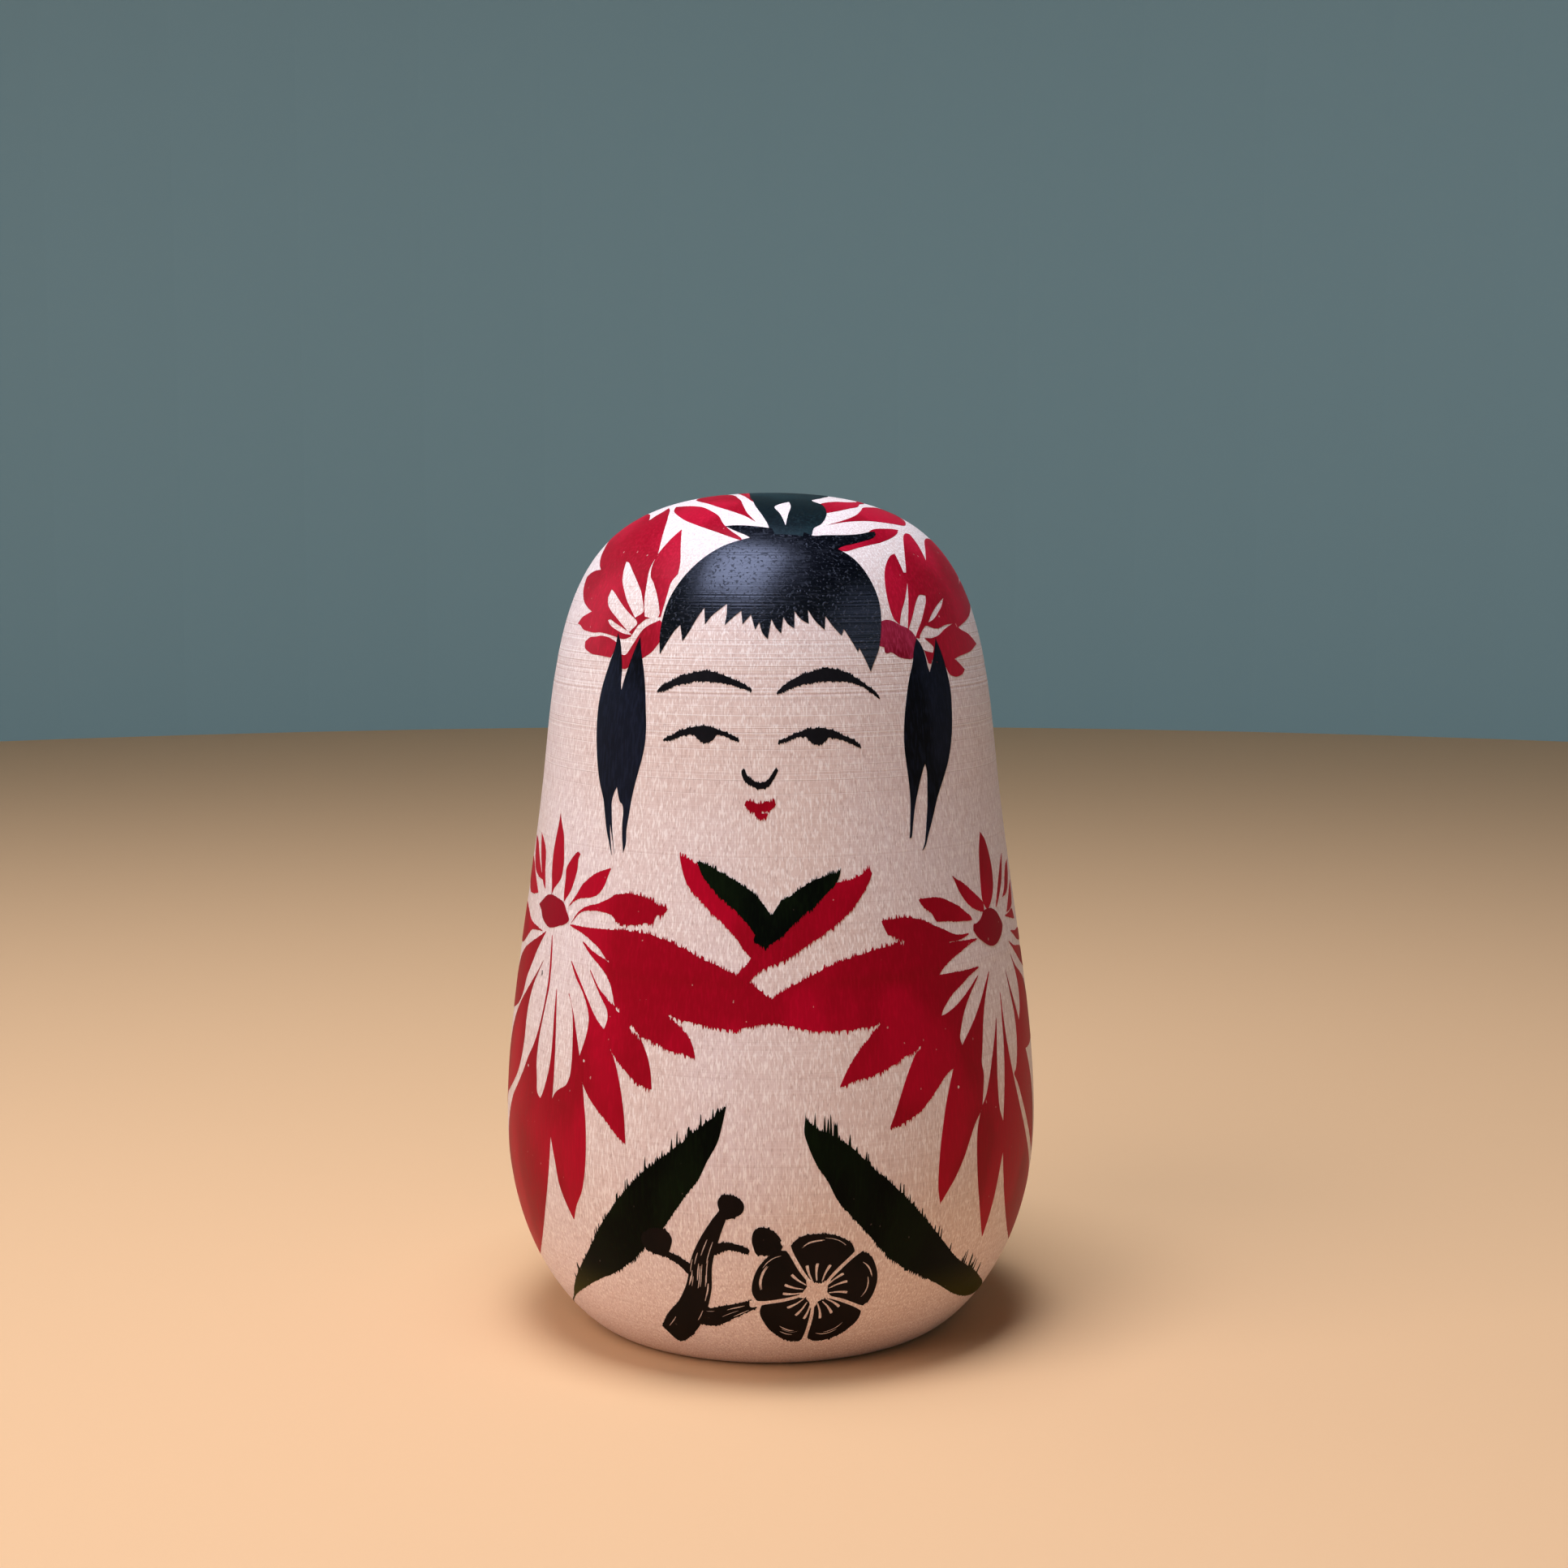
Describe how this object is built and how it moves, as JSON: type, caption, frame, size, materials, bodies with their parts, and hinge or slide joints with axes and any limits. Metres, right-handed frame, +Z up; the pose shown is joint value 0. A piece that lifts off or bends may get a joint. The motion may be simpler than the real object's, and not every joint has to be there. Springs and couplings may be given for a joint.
{
  "type": "kokeshi doll",
  "caption": "Bullet-shaped wooden kokeshi doll, lathe-turned in one block with a painted face and kimono, standing upright on a flat weighted foot as a shelf ornament.",
  "frame": {"origin": "centre of the foot, on the surface the doll stands on", "axes": "+Z up the doll's turning axis towards the crown of the head, -Y towards the painted face, +X to a viewer's right when the face is towards them"},
  "size_m": [0.0644, 0.0644, 0.1],
  "materials": {
    "dogwood": "pale dogwood, turned smooth and polished with wax",
    "plug_wood": "bare turned wood, unwaxed, with lathe rings",
    "ballast_iron": "rough dark cast iron",
    "black_ink": "satin black ink brushed on the wood",
    "red_dye": "crimson dye brushed on the wood, soaked along the grain",
    "green_dye": "green-black dye brushed on the wood, soaked along the grain"
  },
  "bodies": {
    "root": {"turned_body": "dogwood", "foot_plug": "plug_wood", "ballast_disc": "ballast_iron"}
  },
  "joints": []
}
